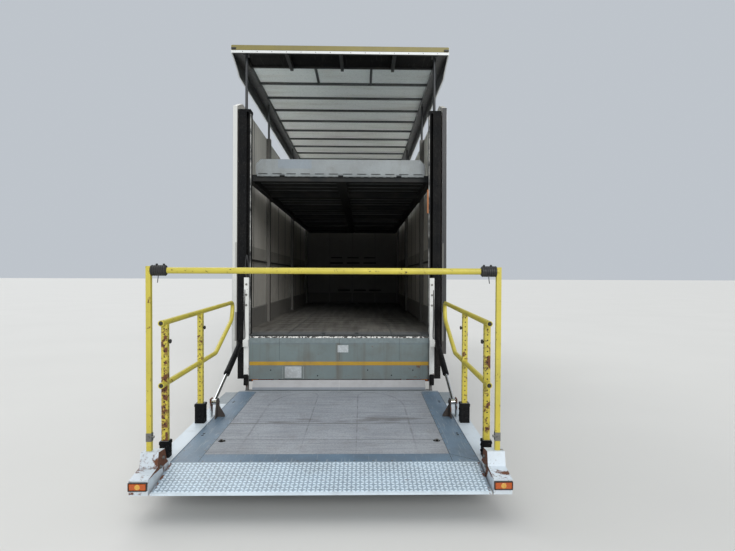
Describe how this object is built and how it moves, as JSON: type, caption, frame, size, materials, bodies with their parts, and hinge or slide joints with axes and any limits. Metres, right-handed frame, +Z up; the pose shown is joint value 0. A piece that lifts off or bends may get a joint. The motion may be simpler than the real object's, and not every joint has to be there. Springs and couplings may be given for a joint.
{
  "type": "car transporter truck",
  "caption": "Rigid closed two-deck vehicle transporter with tilting cab, lifting roof, raised upper deck and a guarded rear column lift.",
  "frame": {"origin": "on the ground under the middle of the truck's bounding box, the lowered platform included", "axes": "+Z up, +Y towards the front of the truck, +X to its right side"},
  "size_m": [2.94, 13.4702, 4.35],
  "materials": {
    "white_paint": "satin",
    "grey_panel": "satin",
    "light_wall": "satin",
    "black_steel": "satin",
    "chassis_paint": "satin",
    "yellow_paint": "worn",
    "galvanised": "dull",
    "cast": "rough",
    "bare_aluminium": "satin",
    "rod_chrome": "polished",
    "tyre_rubber": "matt",
    "deck_wood": "worn",
    "translucent": "translucent",
    "black_plastic": "matt",
    "seat_fabric": "matt",
    "clear_glass": "clear",
    "lamp_clear": "gloss",
    "lamp_red": "gloss",
    "lamp_amber": "gloss"
  },
  "bodies": {
    "chassis": {"chassis_frame": "chassis_paint", "suspension": "chassis_paint", "engine_block": "cast", "fuel_tank": "bare_aluminium", "battery_box": "black_plastic", "axles": "cast", "propeller_shaft": "chassis_paint", "rear_mudguards": "black_plastic", "side_guards": "bare_aluminium", "box_floor": "galvanised", "box_walls": "light_wall", "box_front_wall": "light_wall", "guide_posts": "grey_panel", "lift_columns": "black_steel", "rear_panel": "grey_panel", "tail_lamps": "lamp_red", "front_bumper": "white_paint", "headlamps": "lamp_clear"},
    "knuckle_left": {"left_knuckle": "cast"},
    "knuckle_right": {"right_knuckle": "cast"},
    "steering_link": {"track_rod": "chassis_paint"},
    "wheel_front_left": {"front_left_tyre": "tyre_rubber", "front_left_wheel": "galvanised"},
    "wheel_front_right": {"front_right_tyre": "tyre_rubber", "front_right_wheel": "galvanised"},
    "wheels_rear_left": {"rear_left_tyres": "tyre_rubber", "rear_left_wheels": "galvanised"},
    "wheels_rear_right": {"rear_right_tyres": "tyre_rubber", "rear_right_wheels": "galvanised"},
    "roof": {"roof_frame": "grey_panel", "roof_panel": "translucent"},
    "deck": {"upper_deck": "galvanised"},
    "flap": {"deck_flap": "bare_aluminium"},
    "carriage": {"lift_carriage": "white_paint"},
    "platform": {"lift_platform": "grey_panel", "platform_board": "deck_wood", "ramp_plate": "white_paint", "platform_lamps": "lamp_amber", "guard_rails": "yellow_paint", "guard_portal": "yellow_paint"},
    "cylinder_barrels": {"tilt_barrels": "black_steel"},
    "cylinder_rods": {"tilt_rods": "rod_chrome"},
    "cab": {"cab_shell": "white_paint", "windscreen": "clear_glass", "grille_panel": "black_plastic", "mirrors": "black_plastic", "seats": "seat_fabric", "dashboard": "black_plastic"},
    "door_left": {"cab_door_left": "white_paint", "door_glass_left": "clear_glass"},
    "door_right": {"cab_door_right": "white_paint", "door_glass_right": "clear_glass"}
  },
  "joints": [
    {"name": "steer_left", "type": "hinge", "parent": "chassis", "child": "knuckle_left", "pos_m": [-0.87, 5.355, 0.42], "axis": [0, 0, 1], "range_deg": [-40, 40]},
    {"name": "steer_right", "type": "hinge", "parent": "chassis", "child": "knuckle_right", "pos_m": [0.87, 5.355, 0.42], "axis": [0, 0, 1], "range_deg": [-40, 40]},
    {"name": "track_rod_shift", "type": "slide", "parent": "chassis", "child": "steering_link", "axis": [1, 0, 0], "range_m": [-0.107, 0.107]},
    {"name": "spin_front_left", "type": "hinge", "parent": "knuckle_left", "child": "wheel_front_left", "pos_m": [-1.03, 5.355, 0.42], "axis": [1, 0, 0], "continuous": true},
    {"name": "spin_front_right", "type": "hinge", "parent": "knuckle_right", "child": "wheel_front_right", "pos_m": [1.03, 5.355, 0.42], "axis": [1, 0, 0], "continuous": true},
    {"name": "spin_rear_left", "type": "hinge", "parent": "chassis", "child": "wheels_rear_left", "pos_m": [-0.93, -0.845, 0.42], "axis": [1, 0, 0], "continuous": true},
    {"name": "spin_rear_right", "type": "hinge", "parent": "chassis", "child": "wheels_rear_right", "pos_m": [0.93, -0.845, 0.42], "axis": [1, 0, 0], "continuous": true},
    {"name": "roof_lift", "type": "slide", "parent": "chassis", "child": "roof", "axis": [0, 0, 1], "range_m": [-0.45, 0]},
    {"name": "deck_lift", "type": "slide", "parent": "chassis", "child": "deck", "axis": [0, 0, 1], "range_m": [-0.9, 0]},
    {"name": "flap_fold", "type": "hinge", "parent": "deck", "child": "flap", "pos_m": [0, -3.771, 2.863], "axis": [1, 0, 0], "range_deg": [0, 100]},
    {"name": "lift_travel", "type": "slide", "parent": "chassis", "child": "carriage", "axis": [0, 0, 1], "range_m": [-0.11, 1.9]},
    {"name": "platform_tilt", "type": "hinge", "parent": "carriage", "child": "platform", "pos_m": [0, -4.005, 0.31], "axis": [-1, 0, 0], "range_deg": [-1.8, 4.5]},
    {"name": "barrel_swing", "type": "hinge", "parent": "carriage", "child": "cylinder_barrels", "pos_m": [0, -3.995, 0.88], "axis": [-1, 0, 0], "range_deg": [-4, 8]},
    {"name": "rod_stroke", "type": "slide", "parent": "cylinder_barrels", "child": "cylinder_rods", "axis": [0, -0.934, -0.3572], "range_m": [-0.06, 0.03]},
    {"name": "cab_tilt", "type": "hinge", "parent": "chassis", "child": "cab", "pos_m": [0, 6.64, 0.6], "axis": [-1, 0, 0], "range_deg": [0, 55]},
    {"name": "door_left_swing", "type": "hinge", "parent": "cab", "child": "door_left", "pos_m": [-1.215, 6.459, 1.3], "axis": [0, 0, -1], "range_deg": [0, 78]},
    {"name": "door_right_swing", "type": "hinge", "parent": "cab", "child": "door_right", "pos_m": [1.215, 6.459, 1.3], "axis": [0, 0, 1], "range_deg": [0, 78]}
  ],
  "couplings": [
    {"joint": "steer_right", "follows": "steer_left", "ratio": 1},
    {"joint": "track_rod_shift", "follows": "steer_left", "m_per_rad": 0.152},
    {"joint": "barrel_swing", "follows": "platform_tilt", "ratio": 0.82849},
    {"joint": "rod_stroke", "follows": "platform_tilt", "m_per_rad": -0.5327}
  ]
}
